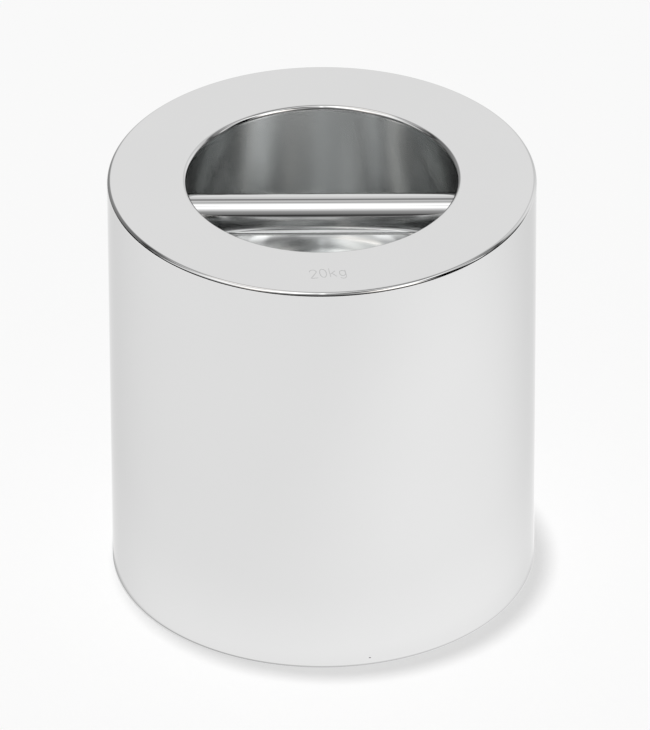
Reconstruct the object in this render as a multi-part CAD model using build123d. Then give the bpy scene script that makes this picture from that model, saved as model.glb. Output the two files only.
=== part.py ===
from build123d import *
import os

# Cylindrical calibration weight, 20 kg nominal, of stainless steel at 8.0 g/cm3.
# The body is turned from one bar. A round recess in its top takes the hand, and a
# round grip bar crosses the recess just below the top face.
#
# Millimetres. The origin is the centre of the base, +Z is the axis of the cylinder,
# the grip bar runs along X, and the marked side of the top ring faces -Y.

# Body
body_diameter = 151.5
body_height = 157.5
top_edge_radius = 1.2           # rounding between the side and the top ring
base_edge_radius = 1.2          # rounding between the side and the base

# Recess for the hand
recess_diameter = 95.5
recess_depth = 50.0             # from the top ring down to the flat of the floor
recess_rim_radius = 1.2         # rounding between the top ring and the recess wall
recess_floor_radius = 14.0      # cove between the recess wall and its floor

# Grip bar
bar_diameter = 15.0
bar_drop = 15.0                 # from the top ring down to the axis of the bar
bar_end_chamfer = 0.8

# Seats of the bar in the recess wall
bar_seat_depth = 6.0            # how far each end of the bar sits in the wall
bar_entry_spare = 0.5           # play left when the bar is slid in past its other seat

# Worked out from the values above
body_radius = body_diameter / 2
recess_radius = recess_diameter / 2
recess_floor_height = body_height - recess_depth
bar_height = body_height - bar_drop
bar_length = recess_diameter + 2 * bar_seat_depth


def body_section():
    """Half of the section of the body, right of its axis, with its edges rounded."""
    base_corner = (body_radius, 0)
    top_corner = (body_radius, body_height)
    rim_corner = (recess_radius, body_height)
    floor_corner = (recess_radius, recess_floor_height)
    outline = FilletPolyline(
        (0, 0),
        base_corner,
        top_corner,
        rim_corner,
        floor_corner,
        (0, recess_floor_height),
        radius=[base_edge_radius, top_edge_radius, recess_rim_radius, recess_floor_radius],
    )
    axis_side = Line((0, recess_floor_height), (0, 0))
    return make_face(Plane.XZ * (outline + axis_side))


def along_bar(radius, start, end):
    """A round solid on the axis of the bar, from x = start to x = end."""
    middle = Pos((start + end) / 2, 0, bar_height)
    return middle * Rot(0, 90, 0) * Cylinder(radius, end - start)


def bar_seats():
    """The blind seats of the bar, bored across the recess into its wall.

    The bar is slid into the deep seat at +X until its other end clears the wall,
    and then back into the shallow seat at -X, where it is fixed.
    """
    shallow_end = -recess_radius - bar_seat_depth
    deep_end = recess_radius + 2 * bar_seat_depth + bar_entry_spare
    return along_bar(bar_diameter / 2, shallow_end, deep_end)


def weight_body():
    """The turned body with its recess and the two seats of the bar."""
    turned = revolve(body_section(), Axis.Z)
    return turned - bar_seats()


def grip_bar():
    """The round bar, seated at both ends, with a lead-in chamfer at each end."""
    bar = along_bar(bar_diameter / 2, -bar_length / 2, bar_length / 2)
    end_edges = bar.edges().filter_by(GeomType.CIRCLE)
    return chamfer(end_edges, bar_end_chamfer)


os.makedirs("parts", exist_ok=True)
export_step(weight_body(), "parts/weight_body.step")
export_step(grip_bar(), "parts/grip_bar.step")
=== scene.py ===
import math

import bpy
import numpy as np
from mathutils import Euler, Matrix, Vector
from mathutils.geometry import delaunay_2d_cdt


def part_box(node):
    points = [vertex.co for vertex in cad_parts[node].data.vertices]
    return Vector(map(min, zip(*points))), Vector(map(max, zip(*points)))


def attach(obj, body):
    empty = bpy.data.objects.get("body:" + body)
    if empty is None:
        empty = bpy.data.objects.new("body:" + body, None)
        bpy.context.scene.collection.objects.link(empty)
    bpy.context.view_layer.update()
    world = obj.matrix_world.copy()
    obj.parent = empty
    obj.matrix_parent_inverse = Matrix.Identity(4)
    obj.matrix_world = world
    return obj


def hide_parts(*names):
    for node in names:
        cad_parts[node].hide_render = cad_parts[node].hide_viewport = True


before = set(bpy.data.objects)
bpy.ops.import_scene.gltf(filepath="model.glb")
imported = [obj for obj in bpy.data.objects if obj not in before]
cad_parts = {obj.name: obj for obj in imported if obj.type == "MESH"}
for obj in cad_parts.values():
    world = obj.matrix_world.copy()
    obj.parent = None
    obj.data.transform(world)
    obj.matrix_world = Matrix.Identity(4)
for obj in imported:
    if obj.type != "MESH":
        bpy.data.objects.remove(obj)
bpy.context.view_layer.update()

# A polished 20 kg calibration weight on a white table, in a white light tent.
# Metres. The origin is the centre of the base, +Z is the axis, the bar runs along X
# and the marked side of the top ring faces -Y. Angles round the axis are counted
# from -Y towards +X.

MM = 0.001

# Sizes of the body: its outside from the frame, its recess and its edges as values of their own
BODY_LOW, BODY_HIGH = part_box("weight_body")
BODY_RADIUS = min(BODY_HIGH.x, -BODY_LOW.x, BODY_HIGH.y, -BODY_LOW.y)
BODY_HEIGHT = BODY_HIGH.z
TOP_EDGE_RADIUS = 1.4 * MM
BASE_EDGE_RADIUS = 1.2 * MM
RECESS_RADIUS = 47.75 * MM
RECESS_DEPTH = 50 * MM
RECESS_FLOOR = BODY_HEIGHT - RECESS_DEPTH
RIM_RADIUS = 1.5 * MM
COVE_RADIUS = 17 * MM

# Rows and columns of the body's mesh
COLUMN_STEP = 1.0                     # degrees
SIDE_ROWS = 20
EDGE_STEPS = 14
BASE_EDGE_STEPS = 12
RECESS_ROWS = 10
COVE_STEPS = 28

# The grip bar: its place and sizes from the frame, its end chamfer and its mesh
BAR_LOW, BAR_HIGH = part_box("grip_bar")
BAR_RADIUS = (BAR_HIGH.z - BAR_LOW.z) / 2
BAR_AXIS_HEIGHT = (BAR_HIGH.z + BAR_LOW.z) / 2
BAR_CHAMFER = 0.8 * MM
BAR_SIDES = 160
BAR_SPANS = 24

# The engraved marking on the top ring
MARK_TEXT = "20kg"
MARK_ANGLE = math.radians(1.8)        # place round the axis
MARK_DISTANCE = 62.2 * MM             # from the axis to the middle of the marking
MARK_TURN = math.radians(7)           # its slant in the plane of the ring
GLYPH_HEIGHT = 5.3 * MM
GLYPH_WIDTH = 2.5 * MM
GLYPH_PITCH = 3.4 * MM
GROOVE_HALF_WIDTH = 0.18 * MM
GROOVE_DEPTH = 0.05 * MM
PATCH_MARGIN = 1.2 * MM               # flat metal round the marking in its fine grid
PATCH_HALF_HEIGHT = 0.66 * GLYPH_HEIGHT + PATCH_MARGIN    # with room for the tail of the g
PATCH_STEP = 0.09 * MM
RING_TOLERANCE = 1e-9                 # of the triangles between the patch and the ring's rims

# The small dent low on the side
DENT_ANGLE = math.radians(12.4)
DENT_HEIGHT = 3.8 * MM
DENT_HALF_WIDTH = 1.2 * MM
DENT_HALF_HEIGHT = 0.75 * MM
DENT_DEPTH = 0.17 * MM
DENT_TILT = 0.35                      # its slant on the side
DENT_FALLOFF = 1.5
DENT_GRID_HALF_WIDTH = 1.25 * DENT_HALF_WIDTH    # of the finer mesh over it
DENT_GRID_HALF_HEIGHT = 1.3 * DENT_HALF_HEIGHT
DENT_COLUMNS, DENT_ROWS = 33, 25
DENT_GRID_GAP = 0.005                 # radians from the finer columns to the next ones
DENT_PROBE = 0.02 * MM                # the step over which its slope is taken

# Finish of the body
OUTSIDE_GREYS = (0.704, 0.726)        # between which soft clouds vary
OUTSIDE_ROUGHNESS = (0.035, 0.055)
CLOUD_SCALE = 18.0
CLOUD_DETAIL = 3.0
NOISE_SPAN = (0.3, 0.7)               # the part of a noise that a roughness follows
GRAZING_GREY = 0.8                    # tint of the metal where it is seen at a flat angle
STREAK = 0.8                          # how far the turned metal spreads light across its grooves
STREAK_TURN = 0.25                    # in turns
RECESS_COLOUR = (0.697, 0.71, 0.709, 1.0)
RECESS_MASK_RADIUS = RECESS_RADIUS + 0.3 * MM
RECESS_MASK_HEIGHTS = (BODY_HEIGHT - 1.3 * RIM_RADIUS, BODY_HEIGHT - RIM_RADIUS)
SATIN_HEIGHTS = (RECESS_FLOOR + 0.2 * COVE_RADIUS, RECESS_FLOOR + COVE_RADIUS)
SATIN_ROUGHNESS = (0.08, 0.2)         # added in the recess, low in its cove and on its wall
TURNING_SCALE = 900.0                 # of the fine grooves in the recess
TURNING_HEIGHT = 0.01 * MM
TURNING_STRENGTH = 0.12
MARK_GREY = 0.62
MARK_ROUGHNESS = 0.25                 # added in the grooves of the marking

# Finish of the bar
BAR_GREYS = (0.675, 0.69)
BAR_ROUGHNESS = (0.03, 0.06)
BAR_WAVE_SCALE = 60.0

# Camera: a long lens, far away
FRAME_HEIGHT = 730                    # pixels
CAMERA_DISTANCE = 4242 * MM           # 28 diameters of the weight
CAMERA_ELEVATION = math.radians(32.97)
CAMERA_FOCAL_PIXELS = 11920.5
CAMERA_ROLL = math.radians(0.25)
CENTRE_OFFSET_X = -2.4                # pixels from the middle of the frame to the weight's middle
CENTRE_OFFSET_Y = 0.6
SENSOR = 36.0                         # mm
CLIP_END = 50

# Light tent: brightness by the angle in degrees from the back horizon, over the top, to the
# camera side's horizon at 180. Negative angles lie under the horizon.
TENT_LEVELS = [(-180, 0.02), (-160, 0.05), (-150, 0.9), (-90, 1.0), (34, 1.0), (38, 0.92), (54, 0.75),
               (57, 0.3), (62, 0.2), (66, 0.5), (71, 0.82), (76, 0.75), (80, 0.5), (84, 0.65), (89, 1.2),
               (96, 1.65), (108, 1.85), (116, 1.75), (121, 1.3), (127, 0.85), (133, 0.72), (138, 0.62),
               (144, 0.5), (149, 0.36), (152, 0.12), (154, 0.05), (156, 0.08), (160, 0.3), (170, 0.2),
               (180, 0.05)]
RAMP_TOP = 3.0                        # the level that the ramps hold as white
PAINT_LIGHT = 0.4                     # strength of the tent where it lights paint and not metal
BACKGROUND_LEVEL = 0.982              # of the plain white that the camera sees past the table
# The dark opening of the tent, near the horizon all round but for the back
OPENING_LEVEL = 0.02
OPENING_START = (-0.26, -0.2)         # sines of the elevations where it comes in from below,
OPENING_END = (0.13, 0.25)            # and where it ends above
OPENING_BACK = (0.35, 0.72)           # how far the direction points to the back where it fades out
# Soft panels of the tent: share of the brightness above, by the azimuth in degrees from the
# back to the right, for the sides of the tent, for its shoulder and for its crown.
SIDE_PANELS = [(-180, 0.6), (-170, 0.6), (-155, 1.1), (-142, 2.45), (-130, 1.4), (-114, 0.75), (-88, 0.32),
               (-62, 0.23), (-47, 0.26), (-22, 0.38), (-9, 1.0), (9, 1.0), (22, 0.75), (38, 1.0), (55, 1.0),
               (70, 0.5), (82, 0.3), (91, 0.8), (97, 0.35), (104, 0.0), (117, 0.0), (125, 1.4), (131, 3.0),
               (148, 3.0), (158, 1.3), (170, 0.6), (180, 0.6)]
SHOULDER_PANELS = [(-180, 0.88), (-178.4, 0.8), (-177, 0.5), (-170, 0.6), (-155, 1.4), (-147, 1.55),
                   (-138, 0.8), (-123, 0.65), (-95, 0.85), (-60, 1.0), (0, 1.0), (60, 1.0), (80, 1.15),
                   (100, 1.0), (118, 0.75), (128, 0.4), (138, 0.05), (152, 0.05), (163, 0.2),
                   (170, 0.36), (177, 0.42), (178.4, 0.8), (180, 0.88)]
CROWN_PANELS = [(-180, 0.95), (-178, 0.85), (-175.5, 0.5), (-155, 1.4), (-147, 1.5), (-138, 0.8),
                (-123, 0.65), (-100, 0.5), (-92, 0.5), (-83, 0.8), (-74, 1.3), (-62, 1.9), (-45, 2.2),
                (-30, 2.0), (-12, 1.3), (0, 1.0), (15, 0.75), (45, 0.45), (65, 0.42), (82, 0.36), (92, 0.45),
                (105, 0.8), (118, 0.8), (128, 0.45), (138, 0.06), (152, 0.06), (163, 0.2), (175.5, 0.38),
                (178, 0.85), (180, 0.95)]
SHOULDER_REACH = (0.73, 0.78)         # sines of the elevations where the shoulder takes over,
CROWN_REACH = (0.87, 0.91)            # where the crown does,
TOP_REACH = (0.975, 0.995)            # and where the panels end
WARM_TINT = (1.0, 0.965, 0.93, 1.0)   # of the brightest side panels
WARM_LOW, WARM_HIGH = 0.9, 2.0        # shares of brightness over which it comes in

# Lamp for the shadow
LAMP_DISTANCE = 8
LAMP_ELEVATION = 87.6                 # degrees
LAMP_AZIMUTH = -144                   # degrees round the axis: behind the weight, on its left
LAMP_SIZE = 0.45
LAMP_POWER = 470

# The table. Reaches are distances from the axis, or from the pool's centre. The glow that the metal mirrors
# is painted light, with painted shade under the base edge.
TABLE_RADIUS = 0.7
TABLE_SIDES = 96
TABLE_GREY = 0.4
TABLE_GLOW = 0.61                     # plain white added to what the camera sees of the table
MIRRORED_GLOW = 0.9                   # share of glow, and not paint, in what the metal mirrors of it; that glow is painted light and shade
POOL_CENTRE = (0.16, -0.08)           # the brightest place of that glow: a painted pool of light
POOL_REACH = (0.05, 0.27)
POOL_LEVELS = (1.19, 1.085)
FOOT_REACH = (0.076, 0.13)            # painted light: the bounce of light near the foot
FOOT_LEVEL = 0.06
FAR_REACH = (0.31, 0.45)              # painted light: the brighter far part, which the rounded edges mirror
FAR_LEVEL = 0.14
CONTACT_SHADE_REACH = (0.0752, 0.0775)          # painted shade: the dark contact shadow under the rounded base edge
CONTACT_SHADE_LEVELS = (0.25, 0.75)             # of that painted shade, from the left side to the right: darker on the left


# ---------------------------------------------------------------- mesh helpers

def mesh_object(name, vertices, faces, normals=None):
    """A smooth mesh object, with the exact normal of each vertex where they are given."""
    mesh = bpy.data.meshes.new(name)
    mesh.from_pydata([tuple(v) for v in vertices], [], faces)
    mesh.polygons.foreach_set("use_smooth", [True] * len(mesh.polygons))
    if normals is not None:
        mesh.normals_split_custom_set_from_vertices([tuple(n) for n in normals])
    mesh.update()
    piece = bpy.data.objects.new(name, mesh)
    bpy.context.scene.collection.objects.link(piece)
    return piece


def arc(centre_r, centre_z, radius, start, end, steps):
    """Rows of a rounded edge: (r, z, normal r, normal z), from angle start to end in degrees.

    The normal points away from the arc's centre for a positive radius and towards it
    for a negative one, as on a cove.
    """
    rows = []
    for k in range(steps + 1):
        a = math.radians(start + (end - start) * k / steps)
        side = math.copysign(1, radius)
        size = abs(radius)
        rows.append((centre_r + size * math.cos(a), centre_z + size * math.sin(a),
                     side * math.cos(a), side * math.sin(a)))
    return rows


def band_faces(row_count, count, first=0):
    """Faces between neighbouring closed rows of count vertices, which start at index first."""
    faces = []
    for j in range(row_count - 1):
        a = first + j * count
        for i in range(count):
            k = (i + 1) % count
            faces.append((a + i, a + k, a + count + k, a + count + i))
    return faces


# ---------------------------------------------------------------- body

def dent_depth(angle, height):
    """How far the side is pushed in at an angle and a height."""
    across = (angle - DENT_ANGLE) * BODY_RADIUS / DENT_HALF_WIDTH
    up = (height - DENT_HEIGHT) / DENT_HALF_HEIGHT
    u = across + DENT_TILT * up
    w = up - DENT_TILT * across
    reach = u * u + w * w
    return DENT_DEPTH * max(0.0, 1 - reach) ** DENT_FALLOFF


def column_angles():
    """Angles of the mesh's columns: evenly spaced, and finer ones over the dent."""
    reach = DENT_GRID_HALF_WIDTH / BODY_RADIUS
    fine = np.linspace(DENT_ANGLE - reach, DENT_ANGLE + reach, DENT_COLUMNS)
    coarse = np.radians(np.arange(0, 360, COLUMN_STEP))
    coarse = coarse[(coarse < fine[0] - DENT_GRID_GAP) | (coarse > fine[-1] + DENT_GRID_GAP)]
    return np.sort(np.concatenate([coarse, fine]))


def side_heights():
    """Heights of the rows of the straight side, finer over the dent."""
    low = DENT_HEIGHT - DENT_GRID_HALF_HEIGHT
    high = DENT_HEIGHT + DENT_GRID_HALF_HEIGHT
    dent_rows = np.linspace(low, high, DENT_ROWS)
    upper = np.linspace(high, BODY_HEIGHT - TOP_EDGE_RADIUS, SIDE_ROWS)[1:-1]
    return np.concatenate([dent_rows, upper])


def outside_rows():
    """Rows from the rim of the base, up the side, to the outer rim of the top ring."""
    rows = arc(BODY_RADIUS - BASE_EDGE_RADIUS, BASE_EDGE_RADIUS, BASE_EDGE_RADIUS, -90, 0, BASE_EDGE_STEPS)
    rows += [(BODY_RADIUS, z, 1.0, 0.0) for z in side_heights()]
    top = BODY_HEIGHT - TOP_EDGE_RADIUS
    rows += arc(BODY_RADIUS - TOP_EDGE_RADIUS, top, TOP_EDGE_RADIUS, 0, 90, EDGE_STEPS)
    return rows


def recess_rows():
    """Rows from the inner rim of the top ring, down the recess wall, to the flat of its floor."""
    top = BODY_HEIGHT - RIM_RADIUS
    bottom = RECESS_FLOOR + COVE_RADIUS
    rows = arc(RECESS_RADIUS + RIM_RADIUS, top, RIM_RADIUS, 90, 180, EDGE_STEPS)
    rows += [(RECESS_RADIUS, z, -1.0, 0.0) for z in np.linspace(top, bottom, RECESS_ROWS)[1:-1]]
    rows += arc(RECESS_RADIUS - COVE_RADIUS, bottom, -COVE_RADIUS, 0, -90, COVE_STEPS)
    return rows


def glyph_strokes(letter):
    """Centre lines of one letter's strokes, in a cell 1 wide and 2 high with the baseline at 0."""
    def curve(cx, cy, rx, ry, start, end, steps=16):
        turn = [math.radians(start + (end - start) * k / steps) for k in range(steps + 1)]
        return [(cx + rx * math.cos(a), cy + ry * math.sin(a)) for a in turn]

    if letter == "2":
        return [curve(0.5, 1.5, 0.46, 0.5, 170, -35) + [(0.04, 0.0), (0.98, 0.0)]]
    if letter == "0":
        return [curve(0.5, 1.0, 0.46, 1.0, 0, 360, 28)]
    if letter == "k":
        return [[(0.06, 0.0), (0.06, 2.0)], [(0.85, 1.3), (0.06, 0.55)], [(0.36, 0.85), (0.9, 0.0)]]
    if letter == "g":
        bowl = curve(0.47, 0.66, 0.42, 0.64, 0, 360, 24)
        tail = [(0.89, 1.3), (0.89, -0.1)] + curve(0.47, -0.12, 0.42, 0.5, 0, -150, 12)
        return [bowl, tail]
    return []


def mark_segments():
    """The marking's strokes as short straight segments about its middle, and its width."""
    width = GLYPH_PITCH * (len(MARK_TEXT) - 1) + GLYPH_WIDTH
    segments = []
    for k, letter in enumerate(MARK_TEXT):
        left = k * GLYPH_PITCH - width / 2
        for stroke in glyph_strokes(letter):
            points = [(left + x * GLYPH_WIDTH, (y - 1) * GLYPH_HEIGHT / 2) for x, y in stroke]
            segments += list(zip(points[:-1], points[1:]))
    return np.array(segments), width


def groove_depth(x, y, segments):
    """Depth of the V-shaped grooves at points of the marking's own plane."""
    nearest = np.full(x.shape, 1.0)
    for (ax, ay), (bx, by) in segments:
        dx, dy = bx - ax, by - ay
        along = np.clip(((x - ax) * dx + (y - ay) * dy) / (dx * dx + dy * dy), 0, 1)
        nearest = np.minimum(nearest, np.hypot(x - ax - along * dx, y - ay - along * dy))
    return GROOVE_DEPTH * np.clip(1 - nearest / GROOVE_HALF_WIDTH, 0, 1)


def mark_patch():
    """A fine grid with the engraved marking: its vertices, normals, depths, faces and border."""
    segments, width = mark_segments()
    half_width = width / 2 + PATCH_MARGIN
    xs = np.linspace(-half_width, half_width, int(2 * half_width / PATCH_STEP))
    ys = np.linspace(-PATCH_HALF_HEIGHT, PATCH_HALF_HEIGHT, int(2 * PATCH_HALF_HEIGHT / PATCH_STEP))
    gx, gy = np.meshgrid(xs, ys)
    depth = groove_depth(gx, gy, segments)
    slope_y, slope_x = np.gradient(depth, ys, xs)
    turn = MARK_ANGLE + MARK_TURN
    cos_t, sin_t = math.cos(turn), math.sin(turn)
    middle_x = MARK_DISTANCE * math.sin(MARK_ANGLE)
    middle_y = -MARK_DISTANCE * math.cos(MARK_ANGLE)
    px = middle_x + gx * cos_t - gy * sin_t
    py = middle_y + gx * sin_t + gy * cos_t
    nx = slope_x * cos_t - slope_y * sin_t
    ny = slope_x * sin_t + slope_y * cos_t
    vertices = np.stack([px, py, BODY_HEIGHT - depth], -1).reshape(-1, 3)
    normals = np.stack([nx, ny, np.ones_like(nx)], -1).reshape(-1, 3)
    normals /= np.linalg.norm(normals, axis=1)[:, None]
    rows, columns = gx.shape
    faces = []
    for j in range(rows - 1):
        for i in range(columns - 1):
            a = j * columns + i
            faces.append((a, a + 1, a + columns + 1, a + columns))
    border = [i for i in range(columns)]
    border += [j * columns + columns - 1 for j in range(1, rows)]
    border += [(rows - 1) * columns + i for i in range(columns - 2, -1, -1)]
    border += [j * columns for j in range(rows - 2, 0, -1)]
    return vertices, normals, depth.reshape(-1), faces, border


def lathe_band(rows, angles, first):
    """Vertices, normals and faces of rows turned round the axis; the vertices start at index first."""
    vertices, normals = [], []
    for r, z, nr, nz in rows:
        for a in angles:
            s, c = math.sin(a), math.cos(a)
            vertices.append((r * s, -r * c, z))
            normals.append((nr * s, -nr * c, nz))
    return vertices, normals, band_faces(len(rows), len(angles), first)


def press_dent(vertices, normals):
    """Pushes the vertices of the side in at the dent and tilts their normals to match."""
    turn = DENT_PROBE / BODY_RADIUS
    span = 2 * DENT_PROBE
    for k, (x, y, z) in enumerate(vertices):
        angle = math.atan2(x, -y)
        depth = dent_depth(angle, z)
        if depth <= 0:
            continue
        slope_round = (dent_depth(angle + turn, z) - dent_depth(angle - turn, z)) / span
        slope_up = (dent_depth(angle, z + DENT_PROBE) - dent_depth(angle, z - DENT_PROBE)) / span
        s, c = math.sin(angle), math.cos(angle)
        out = Vector((s, -c, 0))
        around = Vector((c, s, 0))
        vertices[k] = tuple(Vector((x, y, z)) - out * depth)
        normals[k] = tuple((out + around * slope_round + Vector((0, 0, slope_up))).normalized())


def ring_faces(outer, inner, border, points):
    """Triangles of the flat top ring between its two rims, round the marking's patch."""
    loops = [outer, inner, border]
    index = [k for loop in loops for k in loop]
    flat = [Vector(points[k][:2]) for k in index]
    edges, start = [], 0
    for loop in loops:
        edges += [(start + k, start + (k + 1) % len(loop)) for k in range(len(loop))]
        start += len(loop)
    corners, _, triangles, origin, _, _ = delaunay_2d_cdt(flat, edges, [], 0, RING_TOLERANCE)
    border_start = len(outer) + len(inner)
    in_recess = set(range(len(outer), border_start))
    in_patch = set(range(border_start, len(index)))
    faces = []
    for triangle in triangles:
        own = [origin[k][0] for k in triangle]
        if set(own) <= in_recess or set(own) <= in_patch:
            continue
        a, b, c = (corners[k] for k in triangle)
        flip = (b - a).cross(c - a) < 0
        face = [index[k] for k in own]
        faces.append(tuple(reversed(face)) if flip else tuple(face))
    return faces


def build_body():
    """The whole turned body as one closed mesh, with the marking and the dent."""
    angles = column_angles()
    count = len(angles)
    outside = outside_rows()
    recess = recess_rows()
    vertices, normals, faces = lathe_band(outside, angles, 0)
    press_dent(vertices, normals)
    recess_start = len(vertices)
    more_vertices, more_normals, more_faces = lathe_band(recess, angles, recess_start)
    vertices += more_vertices
    normals += more_normals
    faces += more_faces

    patch_start = len(vertices)
    patch_vertices, patch_normals, depth, patch_faces, border = mark_patch()
    vertices += [tuple(v) for v in patch_vertices]
    normals += [tuple(n) for n in patch_normals]
    faces += [tuple(patch_start + k for k in face) for face in patch_faces]

    outer_rim = [recess_start - count + k for k in range(count)]
    inner_rim = [recess_start + k for k in range(count)]
    faces += ring_faces(outer_rim, inner_rim, [patch_start + k for k in border], vertices)

    base_centre = len(vertices)
    vertices.append((0, 0, 0))
    normals.append((0, 0, -1))
    faces += [(base_centre, (k + 1) % count, k) for k in range(count)]
    floor_centre = len(vertices)
    vertices.append((0, 0, RECESS_FLOOR))
    normals.append((0, 0, 1))
    last = recess_start + (len(recess) - 1) * count
    faces += [(floor_centre, last + k, last + (k + 1) % count) for k in range(count)]

    body = mesh_object("polished_body", vertices, faces, normals)
    marked = np.zeros(len(vertices))
    marked[patch_start:patch_start + len(depth)] = depth / GROOVE_DEPTH
    attribute = body.data.attributes.new("groove", "FLOAT", "POINT")
    attribute.data.foreach_set("value", marked)
    return body


# ---------------------------------------------------------------- bar

def build_bar():
    """The grip bar, turned about X, with the chamfers of its ends."""
    half = (BAR_HIGH.x - BAR_LOW.x) / 2
    straight = 2 * half - 2 * BAR_CHAMFER
    slant = math.sqrt(0.5)
    stations = [(-half, BAR_RADIUS - BAR_CHAMFER, -slant, slant), (-half + BAR_CHAMFER, BAR_RADIUS, 0, 1)]
    for k in range(1, BAR_SPANS):
        stations.append((-half + BAR_CHAMFER + straight * k / BAR_SPANS, BAR_RADIUS, 0, 1))
    stations += [(half - BAR_CHAMFER, BAR_RADIUS, 0, 1), (half, BAR_RADIUS - BAR_CHAMFER, slant, slant)]
    vertices, normals = [], []
    for x, r, nx, nr in stations:
        for i in range(BAR_SIDES):
            a = 2 * math.pi * i / BAR_SIDES
            vertices.append((x, r * math.cos(a), BAR_AXIS_HEIGHT + r * math.sin(a)))
            normals.append((nx, nr * math.cos(a), nr * math.sin(a)))
    faces = band_faces(len(stations), BAR_SIDES)
    last = (len(stations) - 1) * BAR_SIDES
    faces.append(tuple(reversed(range(BAR_SIDES))))
    faces.append(tuple(range(last, last + BAR_SIDES)))
    return mesh_object("polished_bar", vertices, faces, normals)


# ---------------------------------------------------------------- materials

class Nodes:
    """Short ways to add and link the nodes of one material or world."""

    def __init__(self, owner):
        owner.use_nodes = True
        self.tree = owner.node_tree
        self.tree.nodes.clear()

    def add(self, kind, **settings):
        node = self.tree.nodes.new(kind)
        for key, value in settings.items():
            setattr(node, key, value)
        return node

    def feed(self, value, socket):
        """Links another node's output to the socket, or sets the socket to a constant."""
        if isinstance(value, bpy.types.NodeSocket):
            self.tree.links.new(value, socket)
        else:
            socket.default_value = value

    def split(self, vector):
        node = self.add("ShaderNodeSeparateXYZ")
        self.feed(vector, node.inputs[0])
        return node.outputs

    def math(self, operation, *values):
        node = self.add("ShaderNodeMath", operation=operation)
        for value, socket in zip(values, node.inputs):
            self.feed(value, socket)
        return node.outputs[0]

    def distance(self, x, y):
        return self.math("SQRT", self.math("ADD", self.math("MULTIPLY", x, x), self.math("MULTIPLY", y, y)))

    def noise(self, vector, scale, detail=2.0):
        node = self.add("ShaderNodeTexNoise")
        self.feed(vector, node.inputs["Vector"])
        self.feed(scale, node.inputs["Scale"])
        self.feed(detail, node.inputs["Detail"])
        return node.outputs["Fac"]

    def remap(self, value, low, high, to_low, to_high, smooth=False):
        node = self.add("ShaderNodeMapRange", interpolation_type="SMOOTHSTEP" if smooth else "LINEAR")
        self.feed(value, node.inputs["Value"])
        for name, number in zip(("From Min", "From Max", "To Min", "To Max"), (low, high, to_low, to_high)):
            self.feed(number, node.inputs[name])
        return node.outputs["Result"]

    def mix_number(self, factor, first, second):
        node = self.add("ShaderNodeMix", data_type="FLOAT")
        for value, place in ((factor, 0), (first, 2), (second, 3)):
            self.feed(value, node.inputs[place])
        return node.outputs[0]

    def mix_colour(self, factor, first, second):
        node = self.add("ShaderNodeMix", data_type="RGBA")
        for value, place in ((factor, 0), (first, 6), (second, 7)):
            self.feed(value, node.inputs[place])
        return node.outputs[2]

    def mix_shader(self, factor, first, second):
        node = self.add("ShaderNodeMixShader")
        for value, socket in zip((factor, first.outputs[0], second.outputs[0]), node.inputs):
            self.feed(value, socket)
        return node

    def angle_ramp(self, turns, levels):
        """The level at a place in the turn from -180 to 180 degrees, as a share of RAMP_TOP."""
        node = self.add("ShaderNodeValToRGB")
        self.feed(turns, node.inputs[0])
        elements = node.color_ramp.elements
        for angle, _ in levels[1:-1]:
            elements.new((angle + 180) / 360)
        for element, (_, level) in zip(elements, levels):
            element.color = grey(level / RAMP_TOP)
        return node.outputs[0]


def grey(value):
    return (value, value, value, 1.0)


def metal(name):
    """A material of bare metal, its nodes and its shader."""
    material = bpy.data.materials.new(name)
    n = Nodes(material)
    output = n.add("ShaderNodeOutputMaterial")
    shader = n.add("ShaderNodeBsdfPrincipled")
    n.feed(shader.outputs[0], output.inputs["Surface"])
    shader.inputs["Metallic"].default_value = 1.0
    return material, n, shader


def body_material():
    """Polished steel outside and on the ring, a turned satin finish in the recess."""
    material, n, shader = metal("polished_steel")
    shader.inputs["Anisotropic"].default_value = STREAK
    shader.inputs["Anisotropic Rotation"].default_value = STREAK_TURN
    shader.inputs["Specular Tint"].default_value = grey(GRAZING_GREY)
    tangent = n.add("ShaderNodeTangent", direction_type="RADIAL", axis="Z")
    n.feed(tangent.outputs[0], shader.inputs["Tangent"])

    place = n.add("ShaderNodeTexCoord").outputs["Object"]
    x, y, z = n.split(place)
    from_axis = n.distance(x, y)
    below_ring = n.remap(z, *RECESS_MASK_HEIGHTS, 1.0, 0.0)
    inside = n.math("MULTIPLY", n.math("LESS_THAN", from_axis, RECESS_MASK_RADIUS), below_ring)
    groove = n.add("ShaderNodeAttribute", attribute_name="groove").outputs["Fac"]

    clouds = n.noise(place, CLOUD_SCALE, CLOUD_DETAIL)
    outside_colour = n.mix_colour(clouds, *(grey(level) for level in OUTSIDE_GREYS))
    steel = n.mix_colour(inside, outside_colour, RECESS_COLOUR)
    n.feed(n.mix_colour(groove, steel, grey(MARK_GREY)), shader.inputs["Base Color"])

    outside_roughness = n.remap(clouds, *NOISE_SPAN, *OUTSIDE_ROUGHNESS)
    satin = n.remap(z, *SATIN_HEIGHTS, *SATIN_ROUGHNESS)
    rougher = n.math("ADD", outside_roughness, n.math("MULTIPLY", inside, satin))
    roughness = n.math("ADD", rougher, n.math("MULTIPLY", groove, MARK_ROUGHNESS))
    n.feed(roughness, shader.inputs["Roughness"])

    turning = n.add("ShaderNodeCombineXYZ")
    n.feed(from_axis, turning.inputs[0])
    n.feed(z, turning.inputs[2])
    bump = n.add("ShaderNodeBump")
    n.feed(TURNING_HEIGHT, bump.inputs["Distance"])
    n.feed(n.math("MULTIPLY", inside, TURNING_STRENGTH), bump.inputs["Strength"])
    n.feed(n.noise(turning.outputs[0], TURNING_SCALE), bump.inputs["Height"])
    n.feed(bump.outputs[0], shader.inputs["Normal"])
    return material


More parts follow.
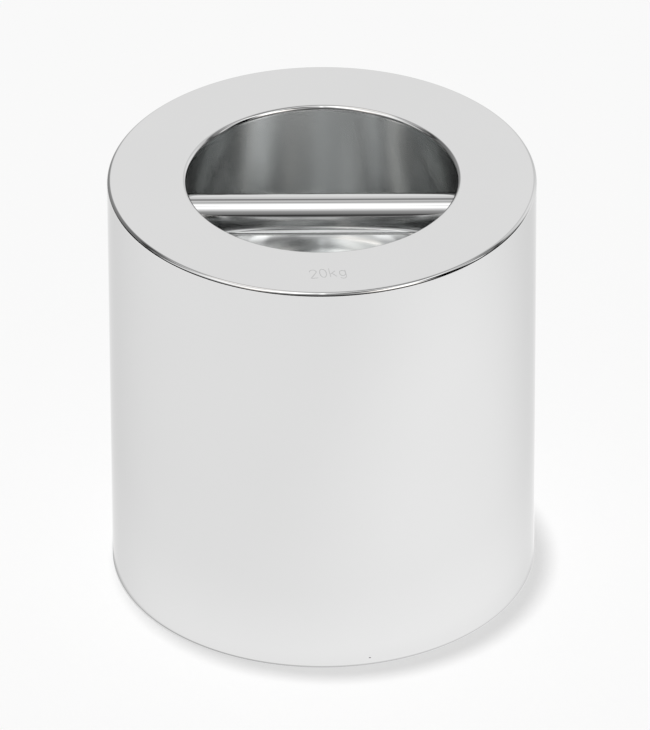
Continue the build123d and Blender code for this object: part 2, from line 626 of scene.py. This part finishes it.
def bar_material():
    """Mirror-polished steel with faint waves of the polishing."""
    material, n, shader = metal("mirror_steel")
    waves = n.noise(n.add("ShaderNodeTexCoord").outputs["Object"], BAR_WAVE_SCALE)
    n.feed(n.mix_colour(waves, *(grey(level) for level in BAR_GREYS)), shader.inputs["Base Color"])
    n.feed(n.remap(waves, *NOISE_SPAN, *BAR_ROUGHNESS), shader.inputs["Roughness"])
    return material


# ---------------------------------------------------------------- setting

def light_tent():
    """The world: a white tent with soft panels and a dark opening, and plain white for the camera."""
    world = bpy.data.worlds.new("light_tent")
    bpy.context.scene.world = world
    world.cycles.sampling_method = "NONE"
    n = Nodes(world)
    output = n.add("ShaderNodeOutputWorld")
    x, y, z = n.split(n.add("ShaderNodeTexCoord").outputs["Generated"])
    over = n.math("ADD", n.math("DIVIDE", n.math("ARCTAN2", z, y), 2 * math.pi), 0.5)
    azimuth = n.math("ADD", n.math("DIVIDE", n.math("ARCTAN2", x, y), 2 * math.pi), 0.5)
    tent_level = n.angle_ramp(over, TENT_LEVELS)
    sides, shoulder, crown = (n.math("MULTIPLY", n.angle_ramp(azimuth, levels), RAMP_TOP)
                              for levels in (SIDE_PANELS, SHOULDER_PANELS, CROWN_PANELS))
    panels = sides
    for reach, level in ((SHOULDER_REACH, shoulder), (CROWN_REACH, crown), (TOP_REACH, 1.0)):
        panels = n.mix_number(n.remap(z, *reach, 0.0, 1.0, smooth=True), panels, level)

    above_start = n.remap(z, *OPENING_START, 0.0, 1.0, smooth=True)
    below_end = n.remap(z, *OPENING_END, 1.0, 0.0, smooth=True)
    off_the_back = n.remap(y, *OPENING_BACK, 1.0, 0.0, smooth=True)
    opening = n.math("MULTIPLY", n.math("MULTIPLY", above_start, below_end), off_the_back)
    share = n.math("MULTIPLY", n.remap(opening, 0.0, 1.0, 1.0, OPENING_LEVEL), panels)
    colour = n.add("ShaderNodeVectorMath", operation="SCALE")
    n.feed(tent_level, colour.inputs[0])
    n.feed(share, colour.inputs["Scale"])

    warm = n.remap(panels, WARM_LOW, WARM_HIGH, 0.0, 1.0, smooth=True)
    tint = n.add("ShaderNodeVectorMath", operation="MULTIPLY")
    n.feed(colour.outputs[0], tint.inputs[0])
    n.feed(n.mix_colour(warm, grey(1.0), WARM_TINT), tint.inputs[1])
    tent = n.add("ShaderNodeBackground")
    n.feed(tint.outputs[0], tent.inputs["Color"])
    path = n.add("ShaderNodeLightPath")
    less_for_paint = n.math("MULTIPLY", path.outputs["Is Diffuse Ray"], RAMP_TOP - PAINT_LIGHT)
    n.feed(n.math("SUBTRACT", RAMP_TOP, less_for_paint), tent.inputs["Strength"])
    white = n.add("ShaderNodeBackground")
    white.inputs["Color"].default_value = grey(BACKGROUND_LEVEL)
    mix = n.mix_shader(path.outputs["Is Camera Ray"], tent, white)
    n.feed(mix.outputs[0], output.inputs["Surface"])


def key_lamp():
    """A soft lamp high over the weight, a little behind it and to the left, for the shadow."""
    data = bpy.data.lights.new("key_lamp", "AREA")
    data.shape = "DISK"
    data.size = LAMP_SIZE
    data.energy = LAMP_POWER
    lamp = bpy.data.objects.new("key_lamp", data)
    bpy.context.scene.collection.objects.link(lamp)
    up, turn = math.radians(LAMP_ELEVATION), math.radians(LAMP_AZIMUTH)
    lamp.location = (LAMP_DISTANCE * math.cos(up) * math.sin(turn),
                     -LAMP_DISTANCE * math.cos(up) * math.cos(turn),
                     LAMP_DISTANCE * math.sin(up))
    lamp.rotation_mode = "QUATERNION"
    lamp.rotation_quaternion = lamp.location.to_track_quat("Z", "Y")
    lamp.visible_glossy = False


def table_material():
    """Matt white that keeps shadows, with a plain white glow for the camera, and for the metal a glow of
    painted light and shade: a pool of light, a bounce near the foot, a brighter far part and a painted
    shadow under the base edge.
    """
    material = bpy.data.materials.new("white_table")
    n = Nodes(material)
    output = n.add("ShaderNodeOutputMaterial")
    path = n.add("ShaderNodeLightPath")
    paint = n.add("ShaderNodeBsdfDiffuse")
    paint.inputs["Color"].default_value = grey(TABLE_GREY)

    place = n.add("ShaderNodeTexCoord").outputs["Object"]
    x, y, _ = n.split(place)
    from_axis = n.distance(x, y)
    from_pool = n.add("ShaderNodeVectorMath", operation="DISTANCE")
    n.feed(place, from_pool.inputs[0])
    from_pool.inputs[1].default_value = (*POOL_CENTRE, 0)
    # a painted pool of light on the table, which only the metal's reflections show
    pool = n.remap(from_pool.outputs["Value"], *POOL_REACH, *POOL_LEVELS, smooth=True)
    # painted light: the bounce of light on the table near the foot
    foot = n.remap(from_axis, *FOOT_REACH, FOOT_LEVEL, 0.0, smooth=True)
    # painted light: a brighter far part of the table
    far = n.remap(from_axis, *FAR_REACH, 0.0, FAR_LEVEL, smooth=True)
    # painted shade under the rounded base edge, seen in the metal, darker on the left side than on the right
    contact_shade_level = n.remap(x, -BODY_RADIUS, BODY_RADIUS, *CONTACT_SHADE_LEVELS)
    contact_shade = n.mix_number(n.remap(from_axis, *CONTACT_SHADE_REACH, 0.0, 1.0), contact_shade_level, 1.0)
    # the painted light and shade of the table that the metal mirrors
    mirrored_level = n.math("MULTIPLY", n.math("ADD", n.math("ADD", pool, foot), far), contact_shade)
    mirrored = n.add("ShaderNodeEmission")
    n.feed(mirrored_level, mirrored.inputs["Strength"])
    mirrored_share = n.math("MULTIPLY", path.outputs["Is Glossy Ray"], MIRRORED_GLOW)
    mix = n.mix_shader(mirrored_share, paint, mirrored)

    glow = n.add("ShaderNodeEmission")
    n.feed(n.math("MULTIPLY", path.outputs["Is Camera Ray"], TABLE_GLOW), glow.inputs["Strength"])
    total = n.add("ShaderNodeAddShader")
    n.feed(mix.outputs[0], total.inputs[0])
    n.feed(glow.outputs[0], total.inputs[1])
    n.feed(total.outputs[0], output.inputs["Surface"])
    return material


def table_top():
    """The round white table under the weight."""
    angles = [2 * math.pi * k / TABLE_SIDES for k in range(TABLE_SIDES)]
    rim = [(TABLE_RADIUS * math.cos(a), TABLE_RADIUS * math.sin(a), 0) for a in angles]
    table = mesh_object("table_top", rim, [tuple(range(TABLE_SIDES))])
    table.data.materials.append(table_material())


def camera():
    """A long lens that looks down on the weight from the front."""
    data = bpy.data.cameras.new("camera")
    view = bpy.data.objects.new("camera", data)
    bpy.context.scene.collection.objects.link(view)
    data.sensor_width = SENSOR
    data.lens = CAMERA_FOCAL_PIXELS / FRAME_HEIGHT * SENSOR
    data.clip_end = CLIP_END
    middle = BODY_HEIGHT / 2
    view.location = (0, -CAMERA_DISTANCE * math.cos(CAMERA_ELEVATION),
                     middle + CAMERA_DISTANCE * math.sin(CAMERA_ELEVATION))
    look = Euler((math.pi / 2 - CAMERA_ELEVATION, 0, 0)).to_matrix()
    yaw = math.atan(CENTRE_OFFSET_X / CAMERA_FOCAL_PIXELS)
    pitch = math.atan(CENTRE_OFFSET_Y / CAMERA_FOCAL_PIXELS)
    nudge = Euler((pitch, yaw, -CAMERA_ROLL)).to_matrix()
    view.rotation_euler = (look @ nudge).to_euler()
    bpy.context.scene.camera = view


bpy.context.scene.view_settings.view_transform = "Standard"
camera()
light_tent()
key_lamp()
table_top()

body = build_body()
body.data.materials.append(body_material())
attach(body, "root")
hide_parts("weight_body")

bar = build_bar()
bar.data.materials.append(bar_material())
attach(bar, "root")
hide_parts("grip_bar")
